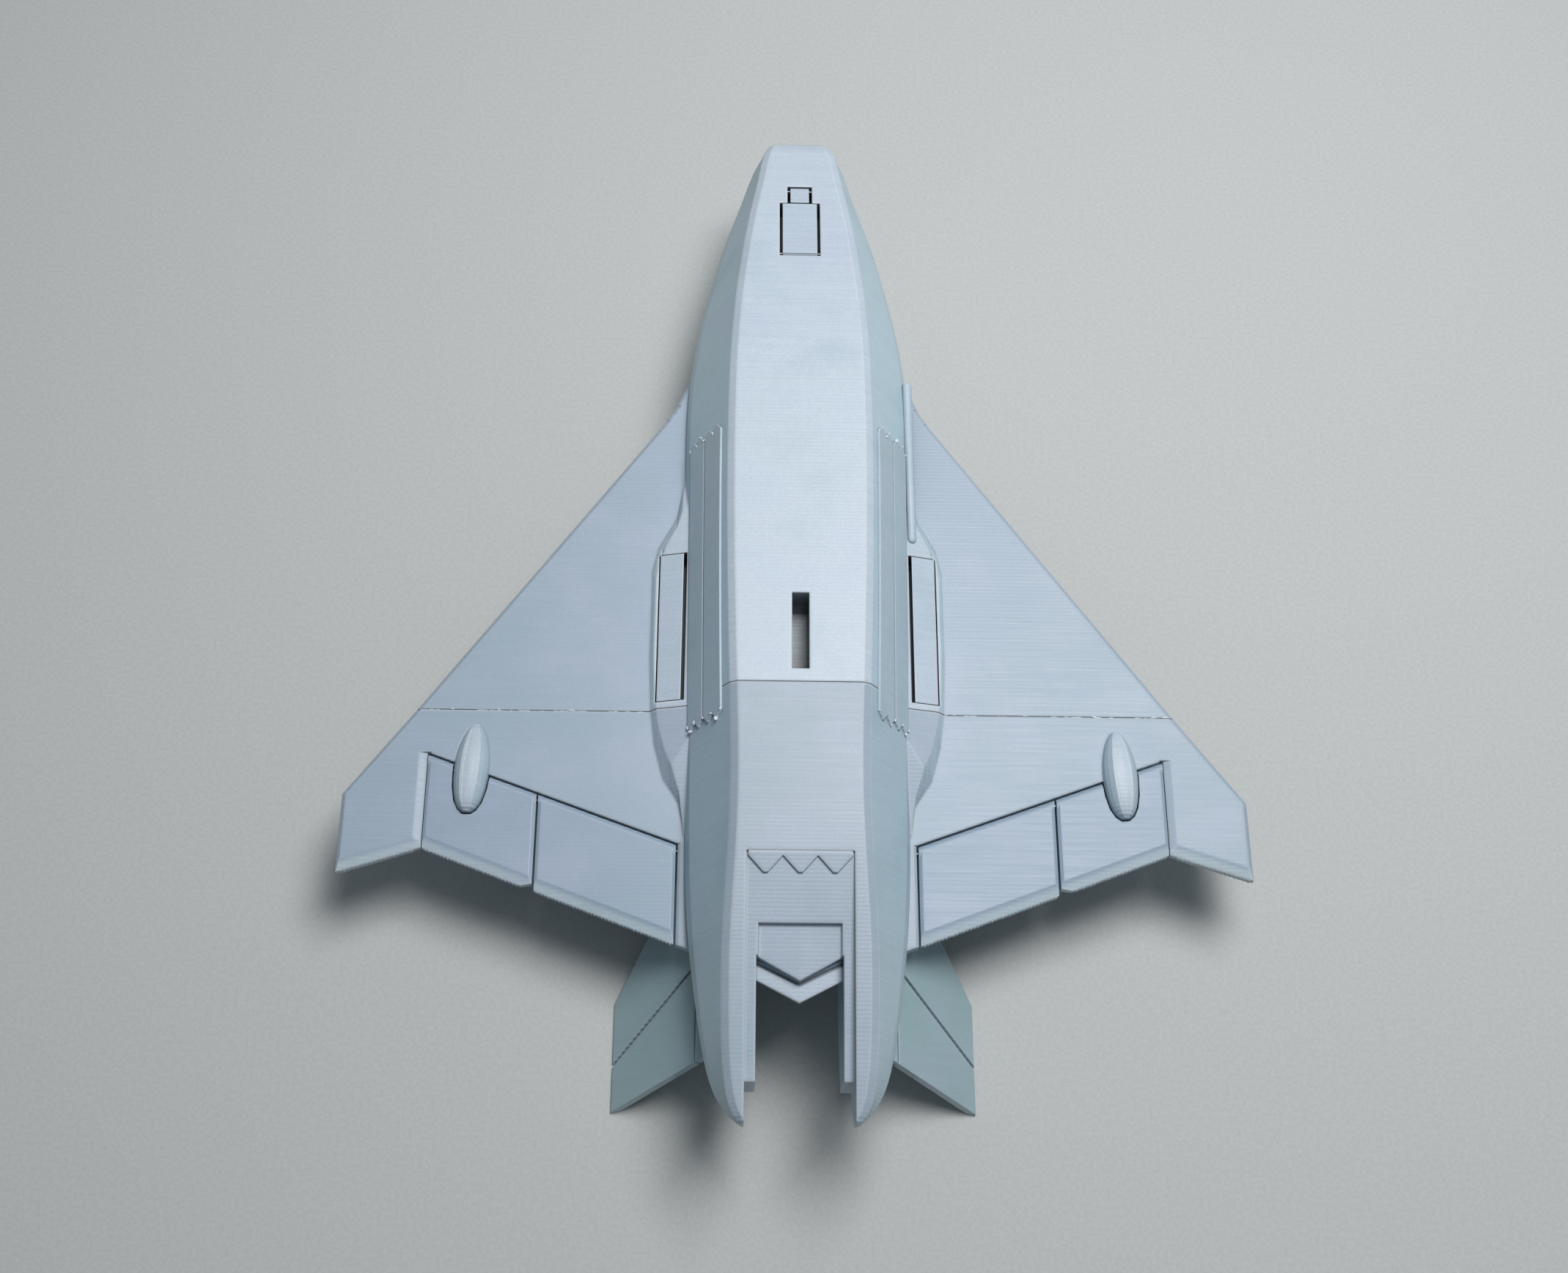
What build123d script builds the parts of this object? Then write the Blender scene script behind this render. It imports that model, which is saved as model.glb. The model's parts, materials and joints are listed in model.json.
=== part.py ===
from build123d import *
import math
import os

# Printed display model of a tailless-delta jet, lying on its back.
#
# Working frame: +Y is the nose, +X the model's edge on the viewer's right, and +Z the belly, because
# the model lies belly up.  z = 0 is the belly-side skin of the wing and y = 0 the glued joint between
# the front and the rear section.  on_floor() moves each finished piece to the frame that is written
# out, whose origin is the middle of the footprint on the floor.

os.makedirs("parts", exist_ok=True)

# ---------------------------------------------------------------- driving dimensions, millimetres
NOSE_Y = 101.4
TAIL_Y = -63.1
REST_DEPTH = 16.0        # fin tips and canopy top, which the model lies on, below the wing skin
WALL = 1.8               # printed wall of both fuselage sections
GAP = 0.25               # clearance round everything that moves
FIT = 0.04               # radial clearance of the wires and dowels
BORE_OVER = 0.1          # how much longer a bore is than its wire or dowel, at each end

WING_T = 2.0             # wing plate
TIP_X = 68.9
TIP_Y = (-13.6, -25.8)   # front and rear end of the wing tip
KINK_X = 58.7            # where the leading edge meets the section joint
LE_BEND = (22.0, 50.7)   # inner end of the straight leading edge
LE_BLEND = [(20.3, 53.4), (19.0, 56.5), (17.0, 60.0)]   # its curve into the fuselage
LE_BEVEL = (0.7, 0.55)   # width and depth of the planed leading edge
TE_BEVEL = (1.8, 0.5)
BLEND_BEVEL = (0.7, 0.5)
SIDE_BEVEL = (0.5, 0.3)  # side edges of the elevons
NOTCH_BEVEL = (1.2, 0.35)    # wing beside the outer elevon

HINGE_SLOPE = 0.363      # forward sweep of the elevon hinge line, dy/dx
HINGE_MID = (39.4, -13.15)
TE_MID = (39.4, -28.3)
INNER_X = 18.0           # side edges of the elevons
SPLIT_X = 39.4
OUTER_X = 56.5
HINGE_GAP = 0.12         # between the wing and the round nose of an elevon
ROOT_GAP = 0.3           # beside the inner edge of the inner elevon
SPLIT_GAP = (0.12, 0.2)  # either side of the split line between the elevons
TIP_GAP = 0.15           # beside the outer edge of the outer elevon
KNUCKLE_R = 0.95         # rounded nose of an elevon
WIRE_R = 0.4             # elevon hinge wire
WIRE_X = (13.5, 60.5)

POD_X = 49.6
POD_Y = -9.6
POD_LENGTH = 13.8
POD_WIDTH = 5.3
POD_HEIGHT = 2.6
POD_TOE = 3.3            # degrees, nose inward
POD_CLEAR = 0.27         # round the pod in the outer elevon, which swings past it

BLISTER_TOP = (22.0, 1.3)     # x and z at the outer edge of the gear blister
BLISTER_FOOT = (16.9, 2.9)    # where it meets the cheek
BLISTER_HEIGHT = 4.0
BLISTER_DRAFT = 35            # degrees, slope of its sides
BLISTER_FALL_LINE = [(-2.0, 3.6), (-19.0, 0.3)]   # y and z of its top where it fades into the wing
BLISTER_OUTLINE = [(13.5, 41.0), (18.4, 40.2), (19.4, 33.6), (22.4, 28.0), (23.3, 24.0), (23.3, 9.0),
                   (22.9, 0.0), (22.2, -5.5), (20.7, -11.0), (17.9, -15.2), (17.2, -20.0), (13.5, -20.0)]
GEAR_DOOR_Y = (1.2, 25.9)
GEAR_DOOR_X = (18.1, 21.9)
GEAR_DOOR_LAP = 0.58     # skin of the gear door beyond its hinge wire
GEAR_BAY_FLOOR = -1.2
GEAR_BAY_MARGIN = 0.55   # open strip beside the free edge of the door
END_GAP = 0.12           # at the ends of the doors
DOOR_T = 0.9
DOOR_KNUCKLE_R = 0.6
DOOR_WIRE_R = 0.3
GEAR_WIRE_REACH = 1.0    # hinge wire past each end of the gear door
DOOR_LAP = 0.2           # skin of a nose door beyond its hinge wire
DOOR_SINK = 0.06         # top of its knuckle below the skin

NOSE_DOOR_SPLIT = 86.55
NOSE_FRONT_DOOR = (1.55, 90.1)   # half width and far end
NOSE_REAR_DOOR = (2.85, 75.4)
NOSE_BAY_DEPTH = 4.0

SLOT_HALF = 1.3
SLOT_Y = (2.05, 14.35)
SLOT_FLOOR_Z = 8.2
SLOT_STEP_Z = 9.7        # foot of the upright front wall, where the steps begin
SLOT_STEP_RUN = 1.0
SLOT_STEPS = 5

PANEL_RAISE = 0.35
PANEL_SEAT = 0.6
PANEL_Y = (-4.6, 44.7)
PANEL_EDGES = [(2.6, 7.55), (7.9, 12.4)]   # distance down the cheek of the two long edges
TOOTH = 1.1

FIN_ROOT = (11.6, -1.2)       # x and z of the fin plane inside the boom
FIN_TIP = (27.15, -REST_DEPTH)
FIN_FRONT = (-14.2, -45.9)    # y of the leading edge at the root and 2 mm past the tip
FIN_BACK = -52.9              # y of the trailing edge at the root of the rudder
FIN_BACK_SLOPE = -0.44
FIN_T = 1.3
RUDDER_SLOPE = -1.03          # hinge groove, dy/dx in plan
RUDDER_TIP_Y = -51.2
RUDDER_ROOT_X = 14.6
RUDDER_NOSE_R = 0.6
RUDDER_BACK = 0.75            # rudder axis behind the hinge groove
RUDDER_WIRE_R = 0.3
RUDDER_WIRE_X = (11.0, 26.4)

DECK_Y = -25.6           # front of the recessed tail deck
DECK_Z = (13.0, 8.5)     # its height there and at the rail ends
RAIL_END_Y = -57.4
DECK_HALF = 7.75
NOTCH_HALF = 6.2
RAMP_Y = -35.7
RAMP_END_Y = -48.0
RAMP_HALF = 5.8
RAMP_Z = (10.7, 8.75)            # ramp floor at its front and at RAMP_END_Y
RAMP_RIDGE = (0.0, 0.5)          # height of its centre ridge at the same places
RAMP_EDGE = (-40.15, -43.55)     # V edge of the ramp: at the walls and on the centre line
BACK_EDGE = (-37.6, -40.8)       # the same edge on the other side of the duct
LIP_EDGE = (-43.2, -46.4)
LIP_FRONT_Y = -38.9
LIP_T = 0.8
LIP_GROOVE = (0.5, 0.55)         # width and depth of the groove behind the V edge
DORSAL_LIP_EDGE = (-38.6, -41.6)
DORSAL_LIP_FRONT_Y = -33.0
DUCT_HALF = 5.4
DUCT_Y = -29.0
DUCT_Z = (-2.4, 7.2)

TOOTH_PITCH = 5.0                # serrated strip at the front of the deck
TOOTH_Y = (-26.3, -28.7)
TOOTH_LAND = 0.3
TOOTH_RAISE = 0.42

GUN_LINE = ((18.0, 56.6, 2.7), (18.2, 29.0, 2.3))
GUN_R = 0.8

BULKHEAD = 2.6                   # end wall of each section at the joint
SEAM = (0.07, 0.12)              # half width and depth of the line the joint leaves on the skin
OUTER_CORNER = (1.7, 0.9)        # inner rear corner cut off the outer elevon
DOWEL_X = 8.0
DOWEL_Z = 3.0
DOWEL_R = 1.5
WING_DOWEL_X = 42.0
WING_DOWEL_R = 0.5
WING_DOWEL_REACH = 6.0

# Fuselage stations: y, belly z, ridge half width, then cheek foot, side, shoulder and spine (x, z).
STATIONS = [
    (NOSE_Y, 7.0, 3.6, (4.5, 5.0), (4.8, 3.2), (4.0, 1.2), (2.3, 0.2)),
    (100.9, 8.1, 4.5, (5.5, 4.9), (5.9, 2.9), (4.9, 0.4), (2.7, -0.9)),
    (99.7, 8.9, 5.0, (6.5, 4.8), (7.0, 2.7), (5.7, -0.2), (3.1, -1.7)),
    (97.4, 9.6, 5.6, (7.7, 4.7), (8.2, 2.5), (6.8, -0.8), (3.6, -2.7)),
    (93.0, 10.4, 6.3, (8.9, 4.6), (9.6, 2.4), (7.9, -1.5), (4.2, -3.7)),
    (86.0, 11.5, 7.5, (11.2, 4.4), (11.9, 2.2), (9.4, -2.3), (4.9, -5.1)),
    (77.0, 12.6, 8.8, (13.5, 4.1), (14.3, 2.0), (11.2, -3.1), (5.6, -6.6)),
    (68.0, 13.4, 9.8, (15.5, 3.7), (16.3, 1.7), (12.7, -3.8), (6.1, -7.9)),
    (57.5, 13.9, 10.5, (17.1, 3.1), (17.8, 1.3), (14.0, -4.4), (6.4, -9.0)),
    (42.0, 14.0, 10.8, (17.7, 2.3), (18.2, 0.6), (14.6, -4.9), (6.5, -9.8)),
    (22.0, 14.0, 10.6, (17.2, 2.6), (17.7, 0.5), (14.6, -5.0), (6.5, -10.0)),
    (0.0, 14.0, 9.95, (16.6, 3.2), (17.1, 0.5), (14.4, -5.0), (6.6, -9.8)),
    (-14.0, 13.8, 9.6, (16.4, 3.3), (17.0, 0.6), (14.2, -4.8), (7.0, -9.2)),
    (-26.0, 13.4, 9.9, (16.1, 3.6), (16.8, 1.2), (13.8, -4.2), (7.5, -8.2)),
    (-38.0, 12.5, 10.5, (15.2, 4.5), (15.9, 2.4), (13.0, -3.2), (8.0, -6.6)),
    (-48.0, 11.5, 10.5, (14.0, 5.4), (14.5, 3.6), (12.0, -1.8), (8.3, -4.6)),
    (-54.0, 10.8, 10.3, (12.9, 5.9), (13.4, 4.4), (11.2, -0.4), (8.3, -2.8)),
    (-58.0, 10.3, 9.9, (11.7, 6.4), (12.2, 5.2), (10.4, 1.2), (8.2, -0.8)),
    (-61.0, 9.9, 9.2, (10.2, 7.0), (10.5, 6.2), (9.5, 3.4), (8.1, 2.0)),
    (TAIL_Y, 9.6, 7.9, (8.35, 8.2), (8.5, 7.6), (8.2, 6.0), (7.9, 5.2)),
]
RIDGE = (0.6, 0.55, 0.75)   # run inside and outside the ridge line, and its drop

# Canopy: y, half width and z of its top.
CANOPY = [(85.0, 1.2, -6.0), (78.0, 3.5, -9.9), (68.0, 5.3, -13.8), (58.0, 6.0, -15.7), (51.0, 6.1, -16.1),
          (43.0, 5.6, -15.5), (33.0, 4.4, -13.4), (22.0, 2.6, -11.0)]
CANOPY_Z = -3.0          # where canopy and scoops end inside the fuselage

# Intake scoops: y, inner x, outer x and z of the top; then the hollow of the mouth.
INTAKE = [(36.0, 6.9, 14.2, -11.8), (24.0, 6.9, 14.0, -11.9), (6.0, 7.2, 12.8, -10.9),
          (-12.0, 7.6, 11.0, -9.3)]
INTAKE_MOUTH = [(36.5, 6.9, 14.2, -11.8), (24.0, 7.2, 13.6, -11.3)]
INTAKE_WALL = 1.0
INTAKE_CORNER = 1.6

MID_Y = (NOSE_Y + TAIL_Y) / 2


# ------------------------------------------------------------------------------- small helpers
def on_floor(shape):
    return shape.moved(Location((0, -MID_Y, REST_DEPTH)))


def save(name, shape):
    export_step(on_floor(shape), f"parts/{name}.step")


def mirrored(shape):
    return mirror(shape, about=Plane.YZ)


def save_pair(name, right_shape):
    save("right_" + name, right_shape)
    save("left_" + name, mirrored(right_shape))


def outline_prism(points, z_low, z_high):
    """Upright prism on a plan outline of (x, y) points."""
    face = Face(Wire.make_polygon([(x, y, z_low) for x, y in points], close=True))
    return extrude(face, z_high - z_low, dir=(0, 0, 1))


def side_prism(points, x_half):
    """Prism across the model on a side outline of (y, z) points."""
    face = Face(Wire.make_polygon([(-x_half, y, z) for y, z in points], close=True))
    return extrude(face, 2 * x_half, dir=(1, 0, 0))


def block(x_range, y_range, z_range):
    size = (x_range[1] - x_range[0], y_range[1] - y_range[0], z_range[1] - z_range[0])
    centre = ((x_range[0] + x_range[1]) / 2, (y_range[0] + y_range[1]) / 2, (z_range[0] + z_range[1]) / 2)
    return Pos(*centre) * Box(*size)


def rod(start, end, radius):
    """Round bar between two points."""
    axis = Vector(*end) - Vector(*start)
    return extrude(Plane(origin=start, z_dir=axis) * Circle(radius), axis.length)


def wire(start, end, radius, bore):
    """Hinge wire, or the bore it sits in."""
    return rod(start, end, radius + (FIT if bore else 0))


def bevel(start, end, size, z_face, up, overrun=1.0):
    """Tool that planes the corner under the plan edge start-end; the plate lies on its left."""
    width, depth = size
    along = (Vector(end[0], end[1]) - Vector(start[0], start[1])).normalized()
    inward = Vector(-along.Y, along.X)
    base = Vector(start[0], start[1], z_face) - along * overrun
    length = (Vector(end[0], end[1]) - Vector(start[0], start[1])).length + 2 * overrun
    over = 0.6
    drop = depth * (width + over) / width
    corners = [(width, 0), (-over, -drop * up), (-over, up), (width, up)]
    points = [base + inward * n + Vector(0, 0, z) for n, z in corners]
    return extrude(Face(Wire.make_polygon(points, close=True)), length, dir=along)


# ------------------------------------------------------------------------------- fuselage form
def half_section(station):
    y, belly_z, ridge, foot, side, shoulder, spine = station
    inside, outside, drop = RIDGE
    outside = min(outside, foot[0] - ridge - 0.1)
    return [(ridge - inside, belly_z), (ridge + outside, belly_z - drop), foot, side, shoulder, spine]


def grown(points, amount):
    """Closed polygon (clockwise seen from the tail) with every side moved out by amount."""
    count = len(points)
    result = []
    for i in range(count):
        before, here, after = points[i - 1], points[i], points[(i + 1) % count]
        a = Vector(here[0] - before[0], here[1] - before[1]).normalized()
        b = Vector(after[0] - here[0], after[1] - here[1]).normalized()
        normal_a, normal_b = Vector(-a.Y, a.X), Vector(-b.Y, b.X)
        mitre = (normal_a + normal_b) / (1 + normal_a.dot(normal_b))
        result.append((here[0] + mitre.X * amount, here[1] + mitre.Y * amount))
    return result


def section_wire(station, amount):
    right = half_section(station)
    left = [(-x, z) for x, z in reversed(right)]
    outline = grown(left + right, amount)
    return Wire.make_polygon([(x, station[0], z) for x, z in outline], close=True)


def fuselage(amount=0.0, y_low=TAIL_Y, y_high=NOSE_Y):
    """Outer form, or the same form grown (or shrunk) by amount, between two stations."""
    chosen = [s for s in STATIONS if y_low - 0.01 <= s[0] <= y_high + 0.01]
    return Solid.make_loft([section_wire(s, amount) for s in chosen])


# ------------------------------------------------------------------------------- wing lines
TE_SLOPE = 0.375
SLANT = math.hypot(1, HINGE_SLOPE)
AXIS_BACK = KNUCKLE_R + HINGE_GAP    # elevon axis behind the groove line
AXIS_Z = -WING_T / 2
ROOT_X = 12.0                        # wing roots reach this far into the fuselage wall


def hinge_y(x, back=0.0):
    return HINGE_MID[1] + HINGE_SLOPE * (x - HINGE_MID[0]) - back * SLANT


def trailing_y(x):
    return TE_MID[1] + TE_SLOPE * (x - TE_MID[0])


def plate(points):
    return outline_prism(points, -WING_T, 0)


def planed(shape, start, end, size):
    """Plane the same edge on the belly side and on the back of a wing plate."""
    shape -= bevel(start, end, size, 0, 1)
    return shape - bevel(start, end, size, -WING_T, -1)


def front_wing():
    kink = (KINK_X, 0)
    wing = plate([(ROOT_X, 0), kink, LE_BEND, *LE_BLEND, (ROOT_X, LE_BLEND[-1][1])])
    wing = planed(wing, kink, LE_BEND, LE_BEVEL)
    for start, end in zip([LE_BEND] + LE_BLEND, LE_BLEND):
        wing = planed(wing, start, end, BLEND_BEVEL)
    return wing


def rear_wing():
    tip_front, tip_rear = (TIP_X, TIP_Y[0]), (TIP_X, TIP_Y[1])
    notch = (OUTER_X, trailing_y(OUTER_X))
    groove = [(OUTER_X, hinge_y(OUTER_X)), (INNER_X, hinge_y(INNER_X))]
    root = [(INNER_X, trailing_y(INNER_X)), (ROOT_X, trailing_y(ROOT_X))]
    wing = plate([(ROOT_X, 0), (KINK_X, 0), tip_front, tip_rear, notch, *groove, *root])
    wing = planed(wing, tip_front, (KINK_X, 0), LE_BEVEL)
    wing = planed(wing, tip_rear, tip_front, LE_BEVEL)
    wing = planed(wing, notch, tip_rear, TE_BEVEL)
    wing -= bevel(groove[0], (OUTER_X, notch[1] - 1), NOTCH_BEVEL, 0, 1, overrun=0)
    return wing - bevel((INNER_X, root[0][1] - 1), groove[1], SIDE_BEVEL, 0, 1, overrun=0)


# ------------------------------------------------------------------------------- gear blister
BLISTER_FALL = (BLISTER_FOOT[1] - BLISTER_TOP[1]) / (BLISTER_TOP[0] - BLISTER_FOOT[0])
BLISTER_TILT = math.atan(BLISTER_FALL)


def blister_top(x):
    return BLISTER_FOOT[1] - BLISTER_FALL * (x - BLISTER_FOOT[0])


def along_prism(points, y_low, y_high):
    """Prism along the model on an upright outline of (x, z) points."""
    face = Face(Wire.make_polygon([(x, y_low, z) for x, z in points], close=True))
    return extrude(face, y_high - y_low, dir=(0, 1, 0))


def blister(y_low, y_high):
    """Raised wing root that holds the gear door, between two planes."""
    base = Face(Wire.make_polygon([(x, y, -FIT) for x, y in BLISTER_OUTLINE], close=True))
    form = extrude(base, BLISTER_HEIGHT, dir=(0, 0, 1), taper=BLISTER_DRAFT)
    inner, outer = 15.0, 25.0
    top = [(inner, blister_top(inner)), (outer, blister_top(outer)), (outer, 8.0), (inner, 8.0)]
    form -= along_prism(top, -30, 50)
    (y_from, z_from), (y_to, z_to) = BLISTER_FALL_LINE
    form -= side_prism([(y_from, z_from), (y_from, 9), (y_to - 5, 9), (y_to - 5, z_to), (y_to, z_to)], outer)
    return form & block((inner, outer), (y_low, y_high), (-1, 5))


# ------------------------------------------------------------------------------- landing gear doors
def gear_axis():
    """x and z of the hinge wire, under the outer edge of the door."""
    x = GEAR_DOOR_X[1] - DOOR_KNUCKLE_R * (math.cos(BLISTER_TILT) + math.sin(BLISTER_TILT) / 2)
    return x, blister_top(x) - DOOR_KNUCKLE_R / math.cos(BLISTER_TILT)


def gear_door():
    axis_x, axis_z = gear_axis()
    inner = GEAR_DOOR_X[0]
    outer = axis_x + GEAR_DOOR_LAP
    skin = [(inner, blister_top(inner)), (outer, blister_top(outer))]
    under = [(x, z - DOOR_T) for x, z in reversed(skin)]
    y_low, y_high = GEAR_DOOR_Y
    door = along_prism(skin + under, y_low, y_high)
    door += rod((axis_x, y_low, axis_z), (axis_x, y_high, axis_z), DOOR_KNUCKLE_R)
    return door - rod((axis_x, y_low - 1, axis_z), (axis_x, y_high + 1, axis_z), DOOR_WIRE_R + FIT)


def gear_wire(bore=False):
    x, z = gear_axis()
    reach = GEAR_WIRE_REACH + (BORE_OVER if bore else 0)
    y_low, y_high = GEAR_DOOR_Y
    return wire((x, y_low - reach, z), (x, y_high + reach, z), DOOR_WIRE_R, bore)


def gear_bay():
    inner, outer = GEAR_DOOR_X
    y_range = (GEAR_DOOR_Y[0] - END_GAP, GEAR_DOOR_Y[1] + END_GAP)
    return block((inner - GEAR_BAY_MARGIN, outer + END_GAP), y_range, (GEAR_BAY_FLOOR, 6.0))


# ------------------------------------------------------------------------------- nose gear doors
NOSE_SLOPE = 0.129
NOSE_GAP = 0.5


def nose_belly(y):
    return 12.8 - NOSE_SLOPE * (y - 75.4)


def nose_strip(half, y_low, y_high, thick):
    low, high = nose_belly(y_low), nose_belly(y_high)
    return side_prism([(y_low, low - thick), (y_high, high - thick), (y_high, 20), (y_low, 20)], half)


def nose_axis(end, inward):
    """y and z of the hinge wire of a nose door, just inside its far end."""
    y = end + inward * DOOR_KNUCKLE_R
    return y, nose_belly(y) - DOOR_KNUCKLE_R - DOOR_SINK


def nose_door(outer, half, end, inward):
    y_axis, z_axis = nose_axis(end, inward)
    free = NOSE_DOOR_SPLIT - inward * GAP / 2
    low, high = sorted((free, y_axis - inward * DOOR_LAP))
    door = outer & nose_strip(half, low, high, DOOR_T)
    door += rod((-half, y_axis, z_axis), (half, y_axis, z_axis), DOOR_KNUCKLE_R)
    return door - rod((-half - 1, y_axis, z_axis), (half + 1, y_axis, z_axis), DOOR_WIRE_R + FIT)


def nose_wire(half, end, inward, bore=False):
    y, z = nose_axis(end, inward)
    reach = half + NOSE_GAP + 1.0 + (BORE_OVER if bore else 0)
    return wire((-reach, y, z), (reach, y, z), DOOR_WIRE_R, bore)


def nose_bay():
    front_half, front_end = NOSE_FRONT_DOOR
    rear_half, rear_end = NOSE_REAR_DOOR
    bay = nose_strip(rear_half + NOSE_GAP, rear_end - END_GAP, NOSE_DOOR_SPLIT, NOSE_BAY_DEPTH)
    return bay + nose_strip(front_half + NOSE_GAP, NOSE_DOOR_SPLIT - 1, front_end + END_GAP, NOSE_BAY_DEPTH)


def nose_bay_walls():
    half, rear_end = NOSE_REAR_DOOR
    front_end = NOSE_FRONT_DOOR[1]
    return nose_strip(half + NOSE_GAP + WALL, rear_end - WALL, front_end + WALL, NOSE_BAY_DEPTH + WALL)


# ------------------------------------------------------------------------------- stand slot
def stand_slot():
    rear, front = SLOT_Y
    rise = (SLOT_STEP_Z - SLOT_FLOOR_Z) / SLOT_STEPS
    run = SLOT_STEP_RUN / SLOT_STEPS
    steps = []
    for i in range(SLOT_STEPS):
        y, z = front - i * run, SLOT_STEP_Z - i * rise
        steps += [(y, z), (y - run, z)]
    return side_prism([(rear, 20), (front, 20), *steps, (front - SLOT_STEP_RUN, SLOT_FLOOR_Z),
                       (rear, SLOT_FLOOR_Z)], SLOT_HALF)


def slot_walls():
    half = SLOT_HALF + WALL
    return block((-half, half), (0, SLOT_Y[1] + WALL), (SLOT_FLOOR_Z - WALL, 20))


# ------------------------------------------------------------------------------- cheek panels
CHEEK_TOP = (10.4, 13.6)
CHEEK_RUN = (0.498, -0.867)


def cheek_prism(y_range, edges):
    """Prism square to the cheek; its ends are cut in two teeth each."""
    normal = (-CHEEK_RUN[1], 0, CHEEK_RUN[0])
    flat = Plane(origin=(CHEEK_TOP[0], 0, CHEEK_TOP[1]), x_dir=(0, 1, 0), z_dir=normal)
    (y_low, y_high), (near, far) = y_range, edges
    quarter = (far - near) / 4
    low = [(y_low + TOOTH * (i % 2 == 0), near + i * quarter) for i in range(5)]
    high = [(y_high - TOOTH * (i % 2 == 0), near + i * quarter) for i in reversed(range(5))]
    corners = [flat.from_local_coords((y, -down, -3.0)) for y, down in low + high]
    return extrude(Face(Wire.make_polygon(corners, close=True)), 6.0, dir=normal)


def cheek_panel(proud, seat, edges):
    return (proud & cheek_prism(PANEL_Y, edges)) - seat


# ------------------------------------------------------------------------------- elevons and pods
def elevon_axis(x):
    return (x, hinge_y(x, AXIS_BACK), AXIS_Z)


def elevon(x_low, x_high):
    """Plate with a round nose on the hinge line and a planed trailing edge."""
    flap = plate([(x_low, elevon_axis(x_low)[1]), (x_low, trailing_y(x_low)),
                  (x_high, trailing_y(x_high)), (x_high, elevon_axis(x_high)[1])])
    flap = planed(flap, (x_low, trailing_y(x_low)), (x_high, trailing_y(x_high)), TE_BEVEL)
    flap -= bevel((x_low, 0), (x_low, -50), SIDE_BEVEL, 0, 1)
    flap -= bevel((x_high, -50), (x_high, 0), SIDE_BEVEL, 0, 1)
    nose = rod(elevon_axis(x_low - 1), elevon_axis(x_high + 1), KNUCKLE_R)
    flap += nose & block((x_low, x_high), (-60, 10), (-5, 5))
    return flap - rod(elevon_axis(x_low - 2), elevon_axis(x_high + 2), WIRE_R + FIT)


def outer_corner():
    """Tool for the cut corner beside the split between the elevons."""
    run, rise = OUTER_CORNER
    x = SPLIT_X + SPLIT_GAP[1]
    below = trailing_y(x) - 2
    return outline_prism([(x - 1, below), (x + run, below), (x + run, trailing_y(x + run)),
                          (x, trailing_y(x) + rise), (x - 1, trailing_y(x) + rise)], -5, 5)


def elevon_wire(bore=False):
    over = BORE_OVER if bore else 0
    start, end = elevon_axis(WIRE_X[0] - over), elevon_axis(WIRE_X[1] + over)
    return wire(start, end, WIRE_R, bore)


POD_FORM = [(-0.5, 0.2), (-0.46, 0.47), (-0.37, 0.73), (-0.22, 0.91), (0.0, 1.0), (0.2, 0.9),
            (0.36, 0.68), (0.46, 0.42), (0.5, 0.24)]
POD_ROUND = [(1.0, 0.0), (0.94, 0.35), (0.77, 0.65), (0.52, 0.93), (0.38, 0.94), (0.1, 0.97)]
POD_PLACE = Location((POD_X, POD_Y, 0), (0, 0, 1), POD_TOE)


def pod_outline(extra=0.0):
    right = [(POD_WIDTH / 2 * w, POD_LENGTH * t) for t, w in POD_FORM]
    left = [(-x, y) for x, y in reversed(right)]
    return grown(list(reversed(right + left)), extra) if extra else right + left


def pod():
    """Cigar with two fine ridges on both skins, and a plug that fills the hole through the wing."""
    sections = []
    for t, w in POD_FORM:
        y, half = POD_LENGTH * t, POD_WIDTH / 2 * w
        top = POD_HEIGHT * (0.2 + 0.8 * w)
        right = [(half, -WING_T / 2)] + [(half * across, top * up) for across, up in POD_ROUND]
        ring = right + [(-x, z) for x, z in reversed(right)]
        sections.append(Wire.make_polygon([(x, y, z) for x, z in ring], close=True))
    upper = Solid.make_loft(sections)
    lower = mirror(upper, about=Plane.XY.offset(-WING_T / 2))
    return (upper + lower).moved(POD_PLACE)


def pod_hole(extra):
    return outline_prism(pod_outline(extra), -6, 6).moved(POD_PLACE)


# ------------------------------------------------------------------------------- fins and rudders
FIN_RUN = (Vector(FIN_TIP[0], 0, FIN_TIP[1]) - Vector(FIN_ROOT[0], 0, FIN_ROOT[1])).normalized()
FIN_FACE = Vector(FIN_RUN.Z, 0, -FIN_RUN.X)
FIN_PLANE = Plane(origin=(FIN_ROOT[0], 0, FIN_ROOT[1]), x_dir=(0, 1, 0), z_dir=FIN_FACE)


def fin_point(x, y, off=0.0):
    return FIN_PLANE.from_local_coords((y, (x - FIN_ROOT[0]) / FIN_RUN.X, off))


def fin_plate(points):
    face = Face(Wire.make_polygon([fin_point(x, y, -FIN_T / 2) for x, y in points], close=True))
    return extrude(face, FIN_T, dir=FIN_FACE)


def rudder_y(x, back=0.0):
    return RUDDER_TIP_Y + RUDDER_SLOPE * (x - FIN_TIP[0]) - back * 1.2


def fin_back_y(x):
    return FIN_BACK + FIN_BACK_SLOPE * (x - RUDDER_ROOT_X)


def fin():
    root, tip = FIN_ROOT[0], FIN_TIP[0] + 2
    stub = RUDDER_ROOT_X - GAP
    front_edge = [(root, FIN_FRONT[0]), (tip, FIN_FRONT[1])]
    groove = [(tip, rudder_y(tip)), (stub, rudder_y(stub))]
    shape = fin_plate(front_edge + groove + [(stub, fin_back_y(stub)), (root, fin_back_y(root))])
    shape -= block((0, 60), (-80, 20), (-60, -REST_DEPTH))
    return shape - block((FIN_TIP[0] + 0.35, 60), (-80, 20), (-60, 20))


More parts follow.
